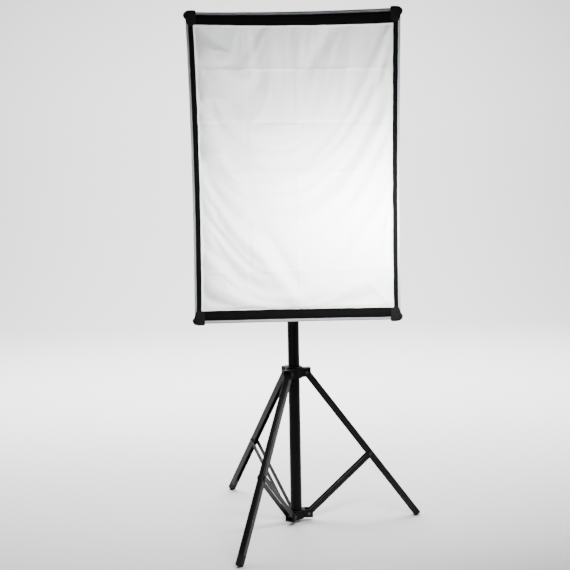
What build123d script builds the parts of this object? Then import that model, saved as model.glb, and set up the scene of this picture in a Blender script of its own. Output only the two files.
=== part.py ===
from build123d import *
from math import atan2, cos, degrees, hypot, radians, sin, sqrt
import os

os.makedirs("parts", exist_ok=True)

# A softbox on a folding light stand, in millimetres. The origin is on the column's axis at the
# floor, +Z is up, and the softbox faces -Y.

# ---------------------------------------------------------------- clearances
running_gap = 0.05       # radial, where one piece turns or slides in another
fixed_gap = 0.02         # radial, where one piece is fixed in another
side_gap = 0.3           # beside a leg, a strip or an ear that swings
soft_gap = 0.3           # between a soft piece and what it lies against
past = 1.0               # how far a cutting shape runs past what it cuts

# ---------------------------------------------------------------- stand
leg_azimuths = {"right": 3.5, "left": 123.5, "front": -116.5}
pivot_radius = 43.0      # of the leg and brace pivots, from the column's axis
hub_pivot_z = 520.0
collar_pivot_z = 28.0
leg_angle = radians(36.6)    # from vertical, legs spread
leg_width = 20.0
leg_depth = 23.0
leg_wall = 1.5
crown_radius = 4.5       # of the channel's two outer corners
groove_width = 7.0
groove_depth = 0.8
leg_channel_length = 610.0
foot_tongue = 26.0       # of the foot plug, inside the channel
foot_cut = 3.0           # height of the corner cut off flat to stand on
foot_round = 3.0
brace_attach = 363.0     # from the leg's pivot, along the leg
brace_width = 17.0
brace_thickness = 2.0
brace_offset = 0.6       # between the leg's side and the strip
pin_radius = 3.0
rivet_head_radius = 5.0
rivet_head = 2.0
cheek = 3.1              # thickness of a clevis cheek

column_bottom = 12.0
lower_tube_top = 735.0
tube_wall = 1.5
bush_wall = 1.0          # between one tube's bore and the tube inside it
lower_radius = 19.5
middle_radius = lower_radius - tube_wall - bush_wall
top_radius = middle_radius - tube_wall - bush_wall
middle_bottom = 190.0
middle_tube_top = 905.0
top_bottom = 340.0
top_tube_top = 1015.0
bush_length = 15.0
plug_length = 18.0
plug_flange = 4.0

hub_ring = 9.0           # radial thickness of the hub's ring
hub_half_height = 19.0
hub_rise = 2.0           # of the middle of the hub's ring, above its pivots
lug_reach = 14.0         # of a lug past its pivot
hub_roof = 3.0
collar_ring = 8.5
collar_low = 12.4
collar_high = 42.0
lug_floor = 3.0

lock_wall = 6.5          # radial thickness of a telescope lock
lock_below = 22.0        # of a lock, below the top of the tube it is fixed to
lock_above = 22.0
lock_round = 3.0
knob_azimuth = 90.0
hub_knob_azimuth = 63.5
knob_screw = 3.0
knob_grip = 14.0
knob_length = 14.0
knob_lobes = 6
knob_lobe_radius = 4.5
knob_round = 2.0
boss_radius = 8.0
boss_height = 6.0        # of a knob's boss, outside its ring

# ---------------------------------------------------------------- spigot and tilt head
spigot_radius = 8.0
spigot_length = 42.0
spigot_flange = 6.0
spigot_flange_lip = 1.0  # of the flange, past the tube it stands on
spigot_plug = 30.0
spigot_chamfer = 1.5
receiver_half = 17.0     # half of the receiver block's side
receiver_height = 72.7
receiver_round = 4.0
umbrella_radius = 4.25
umbrella_above_spigot = 15.0
tongue_half = 8.0
ear_thickness = 8.0
ear_radius = 14.0
tilt_above_receiver = 18.0
tilt_bolt_radius = 4.0
bolt_head_radius = 7.0
bolt_head = 5.0
bolt_thread = 11.0       # of the bolt, past the ear and into the lever
lever_length = 46.0
lever_nut_radius = 9.0
lever_nut = 14.0
lever_nut_floor = 2.0
lever_root = 9.0         # of the arm, from the nut's inner face
lever_splay = 7.0        # outward, over the arm's length
lever_radius = 4.5
lever_tip_radius = 5.5

# ---------------------------------------------------------------- lamp head
housing_radius = 62.0
housing_above_tilt = 21.0    # from the tilt axis to the housing's underside
housing_back = 60.0
housing_front = -60.0
housing_wall = 2.5
flange_lip = 13.0        # of the front flange, past the housing
flange_radius = housing_radius + flange_lip
flange_thickness = 6.0
cover_depth = 18.0
cover_wall = 3.0
cover_lip = 8.0
cover_round = 6.0
vent_count = 7
vent_width = 3.0
vent_pitch = 7.2
vent_length = 34.0
vent_inset = 12.0        # from the housing's back edge
ring_thickness = 12.0
ring_screw_radius = 2.0
ring_screw_circle = housing_radius + flange_lip / 2
screw_head_radius = 3.6
screw_head = 2.0
holder_circle = 44.0
holder_radius = 16.0
holder_length = 38.0
cap_radius = 13.5
cap_length = 26.0
globe_radius = 28.0
globe_wall = 1.5
globe_neck_share = 0.93  # of the globe's radius, where the neck runs into it
globe_reach = 118.0      # from the housing's front to the tip of a bulb
switch_spacing = 40.0
switch_width = 13.0
switch_height = 19.0
switch_bezel = 1.5
switch_wall = 1.0
switch_floor = 2.0
switch_above = 10.0
rocker_tilt = 8.0        # degrees either side of level
rocker_below = 4.0       # of the rocker, below its pivot
rocker_above = 2.6
rocker_round = 1.0
rocker_pin_radius = 1.2
gland_below = 36.0
gland_radius = 7.0
gland_bore = 3.6
gland_length = 22.0
gland_flange = 3.0       # thickness of the flange, and its reach past the body
gland_inside = 2.0       # of the gland, inside the cover
gland_step = 1.5         # by which its sleeve is thinner than its body
terminal_size = (40.0, 14.0, 16.0)
terminal_screw_radius = 2.0
terminal_screw_depth = 4.0

# ---------------------------------------------------------------- softbox
rim_width = 600.0
rim_height = 880.0
box_depth = 367.0        # from the rear panel to the rim
back_width = 180.0
cloth = 1.2
rod_radius = 2.0
rod_boss = 6.0
rod_boss_length = 18.0
rod_boss_start = 2.0     # along the rod's line
rod_hole_start = 4.0
rod_seat_angle = radians(51)     # of a rod's seat, above the ring's level diameter
rod_inset = (12.0, 15.0)     # of a rod's tip from the rim's corner, across and up
silver_side = 7.2        # of the rim that shows outside the black border
silver_top = 9.0
border_side = 15.3
border_top = 28.5
tape_thickness = 1.2
panel_thickness = 0.8
hem_width = 4.0
tab_width = 28.0
tab_inside = 24.0        # of a corner tab, from the rim's corner inward
tab_outside = 1.5
tab_round = 12.5
tab_thickness = 3.0

# ---------------------------------------------------------------- worked out from the values above
BOTTOM = (Align.CENTER, Align.CENTER, Align.MIN)
CORNER = (Align.MIN, Align.MIN, Align.MIN)

leg_top_clearance = 1.5
strip_inner = leg_width / 2 + brace_offset
strip_outer = strip_inner + brace_thickness
attach_x = pivot_radius + brace_attach * sin(leg_angle)
attach_z = hub_pivot_z - brace_attach * cos(leg_angle)
brace_length = hypot(attach_x - pivot_radius, attach_z - collar_pivot_z)
brace_angle = atan2(attach_x - pivot_radius, attach_z - collar_pivot_z)
fold_travel = collar_pivot_z + brace_length + brace_attach - hub_pivot_z

spigot_low = top_tube_top + spigot_flange
receiver_low = spigot_low + side_gap
receiver_high = receiver_low + receiver_height
tilt_z = receiver_high + tilt_above_receiver
head_z = tilt_z + housing_above_tilt + housing_radius

panel_back = housing_front - soft_gap
panel_front = panel_back - cloth
ring_back = panel_front - soft_gap
ring_front = ring_back - ring_thickness
wall_front = panel_front - box_depth
band_back = wall_front - soft_gap
band_front = band_back - cloth
tape_front = band_front - tape_thickness
border_back = tape_front - soft_gap
border_front = border_back - tape_thickness
back_height = back_width * rim_height / rim_width
cover_back = housing_back + side_gap + cover_depth


# ---------------------------------------------------------------- small helpers
def save(name, *shapes):
    solids = [solid for shape in shapes for solid in shape.solids()]
    export_step(solids[0] if len(solids) == 1 else Compound(solids), f"parts/{name}.step")


def upright(radius, low, high):
    return Pos(0, 0, low) * Cylinder(radius, high - low, align=BOTTOM)


def between(radius, start, end):
    reach = Vector(*end) - Vector(*start)
    return Plane(start, z_dir=reach) * Cylinder(radius, reach.length, align=BOTTOM)


def block(low, high):
    size = [b - a for a, b in zip(low, high)]
    return Pos(*low) * Box(*size, align=CORNER)


def pipe(outer, inner, low, high):
    return upright(outer, low, high) - upright(inner, low - past, high + past)


def disc(radius, front, back, x=0.0, up=0.0):
    """A round piece on a line parallel to the head's axis, given from front to back."""
    return between(radius, (x, front, head_z + up), (x, back, head_z + up))


def across(radius, half, x, z):
    """A pin through a lug that points along +X."""
    return between(radius, (x, -half, z), (x, half, z))


def turned(shape, azimuth):
    return Rot(0, 0, azimuth) * shape


# ---------------------------------------------------------------- legs, braces and their joints
def leg_frame():
    """Local Z runs down the leg from its pivot and local X points outward from its crown."""
    outward = (cos(leg_angle), 0, sin(leg_angle))
    down = (sin(leg_angle), 0, -cos(leg_angle))
    return Plane((pivot_radius, 0, hub_pivot_z), x_dir=outward, z_dir=down)


def leg_outline():
    outline = Rectangle(leg_depth, leg_width)
    return fillet(outline.vertices().group_by(Axis.X)[-1], crown_radius)


def leg_hollow(gap):
    depth = leg_depth - leg_wall - gap
    hollow = Rectangle(depth, leg_width - 2 * leg_wall - 2 * gap)
    return Pos(-(leg_depth - depth) / 2, 0) * hollow


def leg_channel():
    groove = Pos(leg_depth / 2 - groove_depth / 2, 0) * Rectangle(groove_depth, groove_width)
    section = leg_outline() - leg_hollow(0) - groove
    round_end = leg_depth / 2
    frame = leg_frame()
    start = frame.offset(-round_end)
    channel = extrude(start * section, leg_channel_length + round_end)
    straight = extrude(frame * Rectangle(2 * leg_depth, 2 * leg_width), leg_channel_length)
    channel &= across(round_end, leg_width, pivot_radius, hub_pivot_z) + straight
    return channel - across(pin_radius + running_gap, leg_width, pivot_radius, hub_pivot_z)


def foot():
    frame = leg_frame()
    reach = (hub_pivot_z + foot_cut - leg_depth / 2 * sin(leg_angle)) / cos(leg_angle)
    boot = extrude(frame.offset(leg_channel_length) * leg_outline(), reach - leg_channel_length)
    end = boot.faces().sort_by(Axis.Z)[0]
    boot = fillet(end.edges().filter_by(Axis.Y, reverse=True), foot_round)
    tongue_start = leg_channel_length - foot_tongue
    boot += extrude(frame.offset(tongue_start) * leg_hollow(fixed_gap), foot_tongue + leg_wall)
    far = 2 * hub_pivot_z
    return boot - block((0, -far, -far), (far, far, 0))


def brace_strips():
    low = Vector(pivot_radius, 0, collar_pivot_z)
    frame = Plane(low, x_dir=(0, 1, 0), z_dir=(sin(brace_angle), 0, cos(brace_angle)))
    strip = extrude(frame * Rectangle(brace_thickness, brace_width), brace_length)
    for x, z in ((pivot_radius, collar_pivot_z), (attach_x, attach_z)):
        strip += across(brace_width / 2, brace_thickness / 2, x, z)
    for x, z in ((pivot_radius, collar_pivot_z), (attach_x, attach_z)):
        strip -= across(pin_radius + running_gap, brace_thickness, x, z)
    middle = (strip_inner + strip_outer) / 2
    return [Pos(0, side * middle, 0) * strip for side in (-1, 1)]


def brace_rivets():
    """Short rivets that hold each strip to the leg's bracket. They end flush with its inner side."""
    rivets = []
    for side in (-1, 1):
        inner, outer = side * strip_inner, side * strip_outer
        shank = between(pin_radius, (attach_x, inner, attach_z), (attach_x, outer, attach_z))
        crown = outer + side * rivet_head
        head = between(rivet_head_radius, (attach_x, outer, attach_z), (attach_x, crown, attach_z))
        rivets.append(shank + head)
    return rivets


def lug_pin(z, half_width):
    """A rivet through a lug's two cheeks, with a head on each side."""
    pin = across(pin_radius, half_width, pivot_radius, z)
    for side in (-1, 1):
        start = (pivot_radius, side * half_width, z)
        end = (pivot_radius, side * (half_width + rivet_head), z)
        pin += between(rivet_head_radius, start, end)
    return pin


def lug(half_slot, low, high):
    half = half_slot + cheek
    body = block((lower_radius + cheek, -half, low), (pivot_radius + lug_reach, half, high))
    outer_edges = body.edges().filter_by(Axis.Z).group_by(Axis.X)[-1]
    return fillet(outer_edges, cheek - side_gap)


hub_slot = leg_width / 2 + side_gap
collar_slot = strip_outer + side_gap
hub_low = hub_pivot_z + hub_rise - hub_half_height
hub_high = hub_pivot_z + hub_rise + hub_half_height
hub_lug_low = hub_pivot_z - pin_radius - leg_depth / 2
hub_slot_top = hub_pivot_z + leg_depth / 2 + leg_top_clearance
collar_lug_low = collar_pivot_z - brace_width / 2 - leg_top_clearance - lug_floor
collar_lug_high = collar_pivot_z + brace_width / 2 + rivet_head_radius


def knob_boss(ring_outer, z, azimuth):
    boss = between(boss_radius, (ring_outer - cheek, 0, z), (ring_outer + boss_height, 0, z))
    return turned(boss, azimuth)


def knob_hole(z, azimuth):
    hole = between(knob_screw + running_gap, (0, 0, z), (hub_pivot_z, 0, z))
    return turned(hole, azimuth)


def knob(tube_radius, ring_outer, z, azimuth):
    """A lobed hand knob whose screw ends just clear of the tube that it clamps."""
    seat = ring_outer + boss_height + side_gap
    grip = between(knob_grip, (seat, 0, z), (seat + knob_length, 0, z))
    grip = fillet(grip.edges().sort_by(Axis.X)[-1], knob_round)
    for turn in range(knob_lobes):
        angle = radians(360 * turn / knob_lobes)
        y = (knob_grip + knob_lobe_radius / 2) * cos(angle)
        up = z + (knob_grip + knob_lobe_radius / 2) * sin(angle)
        grip -= between(knob_lobe_radius, (seat - past, y, up), (seat + knob_length + past, y, up))
    screw = between(knob_screw, (tube_radius + side_gap, 0, z), (seat, 0, z))
    return turned(grip + screw, azimuth)


def leg_hub():
    outer = lower_radius + hub_ring
    body = upright(outer, hub_low, hub_high)
    for azimuth in leg_azimuths.values():
        body += turned(lug(hub_slot, hub_lug_low, hub_slot_top + hub_roof), azimuth)
    body += knob_boss(outer, hub_pivot_z, hub_knob_azimuth)
    slot_in = pivot_radius - leg_depth / 2 - leg_wall
    slot_out = pivot_radius + 2 * lug_reach
    for azimuth in leg_azimuths.values():
        slot = block((slot_in, -hub_slot, hub_low - past), (slot_out, hub_slot, hub_slot_top))
        slot += across(pin_radius + fixed_gap, leg_width, pivot_radius, hub_pivot_z)
        body -= turned(slot, azimuth)
    body -= upright(lower_radius + running_gap, hub_low - past, hub_high + past)
    return body - knob_hole(hub_pivot_z, hub_knob_azimuth)


def brace_collar():
    body = upright(lower_radius + collar_ring, collar_low, collar_high)
    for azimuth in leg_azimuths.values():
        body += turned(lug(collar_slot, collar_lug_low, collar_lug_high), azimuth)
    slot_in = lower_radius + collar_ring + past
    slot_out = pivot_radius + 2 * lug_reach
    slot_low = collar_lug_low + lug_floor
    for azimuth in leg_azimuths.values():
        slot = block((slot_in, -collar_slot, slot_low), (slot_out, collar_slot, collar_high + past))
        slot += across(pin_radius + fixed_gap, leg_width, pivot_radius, collar_pivot_z)
        body -= turned(slot, azimuth)
    return body - upright(lower_radius + fixed_gap, collar_low - past, collar_high + past)


# ---------------------------------------------------------------- column
def tube(radius, low, high):
    return pipe(radius, radius - tube_wall, low, high)


def end_plug():
    inside = lower_radius - tube_wall - fixed_gap
    flange = upright(lower_radius, column_bottom - plug_flange, column_bottom)
    return flange + upright(inside, column_bottom, column_bottom + plug_length)


def guide_bush(outer_tube, inner_tube, low):
    """A plastic sleeve on the foot of an inner tube, running in the tube around it."""
    outer = outer_tube - tube_wall - running_gap
    return pipe(outer, inner_tube + fixed_gap, low, low + bush_length)


def telescope_lock(fixed_tube, sliding_tube, joint_z):
    outer = fixed_tube + lock_wall
    low, high = joint_z - lock_below, joint_z + lock_above
    body = upright(outer, low, high)
    body = fillet(body.edges().sort_by(Axis.Z)[-1], lock_round)
    knob_z = joint_z + lock_above / 2
    body += knob_boss(outer, knob_z, knob_azimuth)
    body -= upright(fixed_tube + fixed_gap, low - past, joint_z)
    body -= upright(sliding_tube + running_gap, joint_z, high + past)
    return body - knob_hole(knob_z, knob_azimuth)


def spigot():
    plug = upright(top_radius - tube_wall - fixed_gap, top_tube_top - spigot_plug, top_tube_top)
    flange = upright(top_radius + spigot_flange_lip, top_tube_top, spigot_low)
    stud = upright(spigot_radius, spigot_low, spigot_low + spigot_length)
    stud = chamfer(stud.edges().sort_by(Axis.Z)[-1], spigot_chamfer)
    return plug + flange + stud


def tilt_mount():
    """The receiver block on the spigot, with the tongue that the lamp head tilts on."""
    half = receiver_half
    body = block((-half, -half, receiver_low), (half, half, receiver_high))
    body = fillet(body.edges().filter_by(Axis.Z), receiver_round)
    body += block((-tongue_half, -ear_radius, receiver_low), (tongue_half, ear_radius, tilt_z))
    body += between(ear_radius, (-tongue_half, 0, tilt_z), (tongue_half, 0, tilt_z))
    socket_top = spigot_low + spigot_length + side_gap
    body -= upright(spigot_radius + running_gap, receiver_low - past, socket_top)
    body -= between(tilt_bolt_radius + running_gap, (-half, 0, tilt_z), (half, 0, tilt_z))
    bore_z = spigot_low + spigot_length + umbrella_above_spigot
    body -= between(umbrella_radius, (0, -2 * half, bore_z), (0, 2 * half, bore_z))
    return body - knob_hole(receiver_low + receiver_half, 0)


def tilt_bolt():
    half = tongue_half + side_gap + ear_thickness
    shank = between(tilt_bolt_radius, (-half - bolt_thread, 0, tilt_z), (half, 0, tilt_z))
    head = between(bolt_head_radius, (half, 0, tilt_z), (half + bolt_head, 0, tilt_z))
    return shank + head


def tilt_lever():
    start = -(tongue_half + side_gap + ear_thickness + side_gap)
    nut = between(lever_nut_radius, (start - lever_nut, 0, tilt_z), (start, 0, tilt_z))
    arm_start = (start - lever_root, 0, tilt_z)
    arm_end = (start - lever_root - lever_splay, 0, tilt_z - lever_length)
    arm = between(lever_radius, arm_start, arm_end) + Pos(*arm_end) * Sphere(lever_tip_radius)
    floor = start - lever_nut + lever_nut_floor
    return nut + arm - between(tilt_bolt_radius + running_gap, (floor, 0, tilt_z), (0, 0, tilt_z))


# ---------------------------------------------------------------- lamp head
def housing_ears():
    ears = []
    inner = tongue_half + side_gap
    top = head_z - sqrt((housing_radius - housing_wall / 2) ** 2 - inner ** 2)
    for side in (-1, 1):
        a, b = sorted((side * inner, side * (inner + ear_thickness)))
        ear = block((a, -ear_radius, tilt_z), (b, ear_radius, top))
        ears.append(ear + between(ear_radius, (a, 0, tilt_z), (b, 0, tilt_z)))
    return ears


def lamp_housing():
    body = disc(flange_radius, housing_front, housing_front + flange_thickness)
    body += disc(housing_radius, housing_front, housing_back)
    cavity = disc(housing_radius - housing_wall, housing_front + flange_thickness, housing_back + past)
    for ear in housing_ears():
        body += ear
    body -= cavity
    far = 2 * ear_radius
    body -= between(tilt_bolt_radius + fixed_gap, (-far, 0, tilt_z), (far, 0, tilt_z))
    start, end = housing_front - past, housing_front + flange_thickness + past
    for x, up in around(holder_circle):
        body -= disc(pin_radius, start, end, x, up)
    for x, up in around(ring_screw_circle):
        body -= disc(ring_screw_radius, start, end, x, up)
    vent_end = housing_back - vent_inset
    for row in range(vent_count):
        z = head_z + (row - (vent_count - 1) / 2) * vent_pitch
        low = (-2 * housing_radius, vent_end - vent_length, z - vent_width / 2)
        high = (2 * housing_radius, vent_end, z + vent_width / 2)
        body -= block(low, high)
    return body


def around(radius):
    """Four places on a circle about the head's axis, across and up."""
    turns = [radians(90 * n) for n in range(4)]
    return [(radius * cos(a), radius * sin(a)) for a in turns]


def switch_places():
    return [(side * switch_spacing / 2, switch_above) for side in (-1, 1)]


def rear_cover():
    start = housing_back + side_gap
    inside = housing_radius - housing_wall - fixed_gap
    shell = disc(housing_radius, start, cover_back)
    shell = fillet(shell.edges().sort_by(Axis.Y)[-1], cover_round)
    shell += disc(inside, start - cover_lip, start)
    shell -= disc(inside - housing_wall, start - cover_lip - past, cover_back - cover_wall)
    for x, up in switch_places():
        half_w, half_h = switch_width / 2 + fixed_gap, switch_height / 2 + fixed_gap
        low = (x - half_w, start, head_z + up - half_h)
        shell -= block(low, (x + half_w, cover_back + past, head_z + up + half_h))
    return shell - disc(gland_radius + fixed_gap, start, cover_back + past, 0, -gland_below)


def switch_frame(x, up):
    half_w, half_h = switch_width / 2, switch_height / 2
    depth = switch_width
    z = head_z + up
    body = block((x - half_w, cover_back - depth, z - half_h), (x + half_w, cover_back, z + half_h))
    lip_low = (x - half_w - switch_bezel, cover_back, z - half_h - switch_bezel)
    lip_high = (x + half_w + switch_bezel, cover_back + switch_bezel, z + half_h + switch_bezel)
    body += block(lip_low, lip_high)
    half_w -= switch_wall
    half_h -= switch_wall
    low = (x - half_w, cover_back - depth + switch_floor, z - half_h)
    body -= block(low, (x + half_w, cover_back + depth, z + half_h))
    return body - Pos(x, cover_back, z) * rocker_pin(rocker_pin_radius + running_gap)


def rocker_pin(radius):
    reach = switch_width / 2 - fixed_gap
    return between(radius, (-reach, 0, 0), (reach, 0, 0))


def rocker(x, up):
    """A switch's rocker, resting in its off position."""
    half_w = switch_width / 2 - switch_wall - side_gap
    half_h = switch_height / 2 - switch_wall - 2 * side_gap
    body = block((-half_w, -rocker_below, -half_h), (half_w, rocker_above, half_h))
    body = fillet(body.edges().filter_by(Axis.X).group_by(Axis.Y)[-1], rocker_round)
    body += rocker_pin(rocker_pin_radius)
    return Pos(x, cover_back, head_z + up) * Rot(-rocker_tilt, 0, 0) * body


def cord_gland():
    start, end = cover_back - cover_wall - gland_inside, cover_back + gland_length
    outside = cover_back + gland_flange
    body = disc(gland_radius, start, outside, 0, -gland_below)
    body += disc(gland_radius + gland_flange, cover_back, outside, 0, -gland_below)
    body += disc(gland_radius - gland_step, cover_back, end, 0, -gland_below)
    return body - disc(gland_bore, start - past, end + past, 0, -gland_below)


def terminal_block():
    width, depth, height = terminal_size
    front = housing_front + flange_thickness
    back = front + depth
    body = block((-width / 2, front, head_z - height / 2), (width / 2, back, head_z + height / 2))
    for n in range(-1, 2):
        body -= disc(terminal_screw_radius, back - terminal_screw_depth, back + past, n * width / 3)
    return body


def lamp_holder(x, up):
    mouth = housing_front - holder_length
    body = disc(holder_radius, mouth, housing_front, x, up)
    return body - disc(cap_radius + running_gap, mouth - past, mouth + cap_length + past, x, up)


def bulb_cap(x, up):
    mouth = housing_front - holder_length
    return disc(cap_radius, mouth, mouth + cap_length, x, up)


def bulb_globe(x, up):
    mouth = housing_front - holder_length
    centre = housing_front - globe_reach + globe_radius
    frame = Plane((x, mouth, head_z + up), x_dir=(1, 0, 0), z_dir=(0, -1, 0))
    place = Pos(x, centre, head_z + up)
    neck_end = globe_radius * globe_neck_share
    bulb = frame * Cone(cap_radius, neck_end, mouth - centre, align=BOTTOM)
    bulb += place * Sphere(globe_radius)
    inside = globe_radius - globe_wall
    hollow = place * Sphere(inside)
    hollow += frame * Cone(cap_radius - globe_wall, neck_end - globe_wall, mouth - centre, align=BOTTOM)
    base = disc(cap_radius, mouth - globe_wall, mouth, x, up)
    return (bulb - hollow) + base


# ---------------------------------------------------------------- softbox
def corners():
    return [(sx, sz) for sx in (-1, 1) for sz in (-1, 1)]


def rod_line(sx, sz):
    seat_x, seat_up = ring_screw_circle * cos(rod_seat_angle), ring_screw_circle * sin(rod_seat_angle)
    start = Vector(sx * seat_x, ring_front + ring_thickness / 2, head_z + sz * seat_up)
    tip = Vector(sx * (rim_width / 2 - rod_inset[0]), wall_front + rod_radius,
                 head_z + sz * (rim_height / 2 - rod_inset[1]))
    return start, tip, (tip - start).normalized()


def speed_ring():
    body = disc(flange_radius, ring_front, ring_back)
    body -= disc(housing_radius, ring_front - past, ring_back + past)
    for sx, sz in corners():
        start, tip, way = rod_line(sx, sz)
        boss_start, boss_end = start + way * rod_boss_start, start + way * rod_boss_length
        body += between(rod_boss, tuple(boss_start), tuple(boss_end))
    for sx, sz in corners():
        start, tip, way = rod_line(sx, sz)
        body -= between(rod_radius + running_gap, tuple(start + way * rod_hole_start), tuple(tip))
    for x, up in around(ring_screw_circle):
        body -= disc(ring_screw_radius + fixed_gap, ring_front - past, ring_back + past, x, up)
    return body


def screw(x, up, head_front, back):
    shank = disc(ring_screw_radius - fixed_gap, head_front, back, x, up)
    return shank + disc(screw_head_radius, head_front - screw_head, head_front, x, up)


def rod(sx, sz):
    start, tip, way = rod_line(sx, sz)
    return between(rod_radius, tuple(start + way * (rod_hole_start + side_gap)), tuple(tip))


def rear_panel():
    low = (-back_width / 2, panel_front, head_z - back_height / 2)
    body = block(low, (back_width / 2, panel_back, head_z + back_height / 2))
    body -= disc(housing_radius, panel_front - past, panel_back + past)
    for x, up in around(ring_screw_circle):
        body -= disc(ring_screw_radius + fixed_gap, panel_front - past, panel_back + past, x, up)
    return body


def tapered_body(inset, extra):
    """The softbox's tapering body, drawn in by inset and drawn out past both ends by extra."""
    sections = []
    for y in (panel_front + extra, wall_front - extra):
        share = (panel_front - y) / box_depth
        width = back_width + (rim_width - back_width) * share - 2 * inset
        height = back_height + (rim_height - back_height) * share - 2 * inset
        plane = Plane((0, y, head_z), x_dir=(1, 0, 0), z_dir=(0, 1, 0))
        sections.append(plane * Rectangle(width, height))
    return loft(sections)


def softbox_wall(side):
    """One of the four cloth walls, mitred along the corners with a small gap."""
    shell = tapered_body(0, 0) - tapered_body(cloth, past)
    far = rim_width + rim_height
    slope = rim_height / rim_width
    wedge = {
        "right": [(soft_gap, 0), (far, far * slope), (far, -far * slope)],
        "left": [(-soft_gap, 0), (-far, -far * slope), (-far, far * slope)],
        "top": [(0, soft_gap), (-far / slope, far), (far / slope, far)],
        "bottom": [(0, -soft_gap), (far / slope, -far), (-far / slope, -far)],
    }[side]
    plane = Plane((0, 0, head_z), x_dir=(1, 0, 0), z_dir=(0, -1, 0))
    face = make_face(Polyline(*wedge, close=True))
    return shell & extrude(plane * face, -2 * wall_front, both=True)


def strips(width, height, side, top, front, back, shorten=0.0):
    """A rectangular border as four flat strips. shorten leaves its outer corners free."""
    half_w, half_h = width / 2, height / 2
    end_w = half_w - side if shorten == 0 else half_w - shorten
    end_h = half_h if shorten == 0 else half_h - shorten
    pieces = []
    for s in (-1, 1):
        x = sorted((s * half_w, s * (half_w - side)))
        pieces.append(block((x[0], front, head_z - end_h), (x[1], back, head_z + end_h)))
        z = sorted((s * half_h, s * (half_h - top)))
        pieces.append(block((-end_w, front, head_z + z[0]), (end_w, back, head_z + z[1])))
    return pieces


def corner_tab(sx, sz):
    corner = Plane((sx * rim_width / 2, band_front - soft_gap, head_z + sz * rim_height / 2),
                   x_dir=(sx, 0, sz), z_dir=(0, -1, 0))
    outline = Pos((tab_outside - tab_inside) / 2, 0) * Rectangle(tab_outside + tab_inside, tab_width)
    outline = fillet(outline.vertices().group_by(Axis.X)[-1], tab_round)
    return extrude(corner * outline, tab_thickness)


corner_relief = sqrt(2) * (tab_inside + soft_gap) - silver_side - silver_top
border_width = rim_width - 2 * silver_side
border_height = rim_height - 2 * silver_top
panel_width = border_width - 2 * border_side
panel_height = border_height - 2 * border_top


def build_stand():
    save("lower_tube", tube(lower_radius, column_bottom, lower_tube_top))
    save("lower_tube_plug", end_plug())
    save("brace_collar", brace_collar())
    collar_pin = lug_pin(collar_pivot_z, collar_slot + cheek)
    save("brace_collar_rivets", *[turned(collar_pin, a) for a in leg_azimuths.values()])
    save("leg_hub", leg_hub())
    hub_pin = lug_pin(hub_pivot_z, hub_slot + cheek)
    save("leg_hub_rivets", *[turned(hub_pin, a) for a in leg_azimuths.values()])
    save("leg_hub_knob", knob(lower_radius, lower_radius + hub_ring, hub_pivot_z, hub_knob_azimuth))
    for name, azimuth in leg_azimuths.items():
        save(f"leg_{name}", turned(leg_channel(), azimuth))
        save(f"foot_{name}", turned(foot(), azimuth))
        save(f"brace_{name}", *[turned(strip, azimuth) for strip in brace_strips()])
        save(f"brace_rivets_{name}", *[turned(rivet, azimuth) for rivet in brace_rivets()])


def build_column():
    save("lower_lock", telescope_lock(lower_radius, middle_radius, lower_tube_top))
    lock_knob_z = lower_tube_top + lock_above / 2
    save("lower_lock_knob", knob(middle_radius, lower_radius + lock_wall, lock_knob_z, knob_azimuth))
    save("middle_tube", tube(middle_radius, middle_bottom, middle_tube_top))
    save("middle_tube_bush", guide_bush(lower_radius, middle_radius, middle_bottom))
    save("middle_lock", telescope_lock(middle_radius, top_radius, middle_tube_top))
    lock_knob_z = middle_tube_top + lock_above / 2
    save("middle_lock_knob", knob(top_radius, middle_radius + lock_wall, lock_knob_z, knob_azimuth))
    save("top_tube", tube(top_radius, top_bottom, top_tube_top))
    save("top_tube_bush", guide_bush(middle_radius, top_radius, top_bottom))
    save("spigot", spigot())
    save("tilt_mount", tilt_mount())
    seat = receiver_half - boss_height
    save("tilt_mount_knob", knob(spigot_radius, seat, receiver_low + receiver_half, 0))


def build_lamp_head():
    save("tilt_bolt", tilt_bolt())
    save("tilt_lever", tilt_lever())
    save("lamp_housing", lamp_housing())
    save("rear_cover", rear_cover())
    save("terminal_block", terminal_block())
    save("cord_gland", cord_gland())
    places = switch_places()
    save("switch_frames", *[switch_frame(x, up) for x, up in places])
    for name, (x, up) in zip(("left", "right"), places):
        save(f"rocker_{name}", rocker(x, up))
    lamps = around(holder_circle)
    save("lamp_holders", *[lamp_holder(x, up) for x, up in lamps])
    save("bulb_caps", *[bulb_cap(x, up) for x, up in lamps])
    save("bulb_globes", *[bulb_globe(x, up) for x, up in lamps])
    back = housing_front + flange_thickness
    screws = [screw(x, up, ring_front, back) for x, up in around(ring_screw_circle)]
    save("speed_ring", speed_ring())
    save("speed_ring_screws", *screws)


def build_softbox():
    for sx, sz in corners():
        side = "left" if sx < 0 else "right"
        level = "lower" if sz < 0 else "upper"
        save(f"rod_{level}_{side}", rod(sx, sz))
    save("rear_panel", rear_panel())
    for side in ("left", "right", "top", "bottom"):
        save(f"wall_{side}", softbox_wall(side))
    band_side, band_top = silver_side + border_side, silver_top + border_top
    save("rim_band", *strips(rim_width, rim_height, band_side, band_top, band_front, band_back))
    border = (border_width, border_height, border_side, border_top)
    save("hook_tape", *strips(*border, tape_front, band_front, corner_relief))
    save("corner_tabs", *[corner_tab(sx, sz) for sx, sz in corners()])
    save("diffuser_border", *strips(*border, border_front, border_back, corner_relief))
    half_w, half_h = panel_width / 2 - soft_gap, panel_height / 2 - soft_gap
    low = (-half_w, border_front, head_z - half_h)
    save("diffuser_panel", block(low, (half_w, border_front + panel_thickness, head_z + half_h)))
    hem_out = (panel_width + hem_width, panel_height + hem_width, hem_width, hem_width)
    save("diffuser_hem", *strips(*hem_out, border_front - tape_thickness, border_front))


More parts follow.
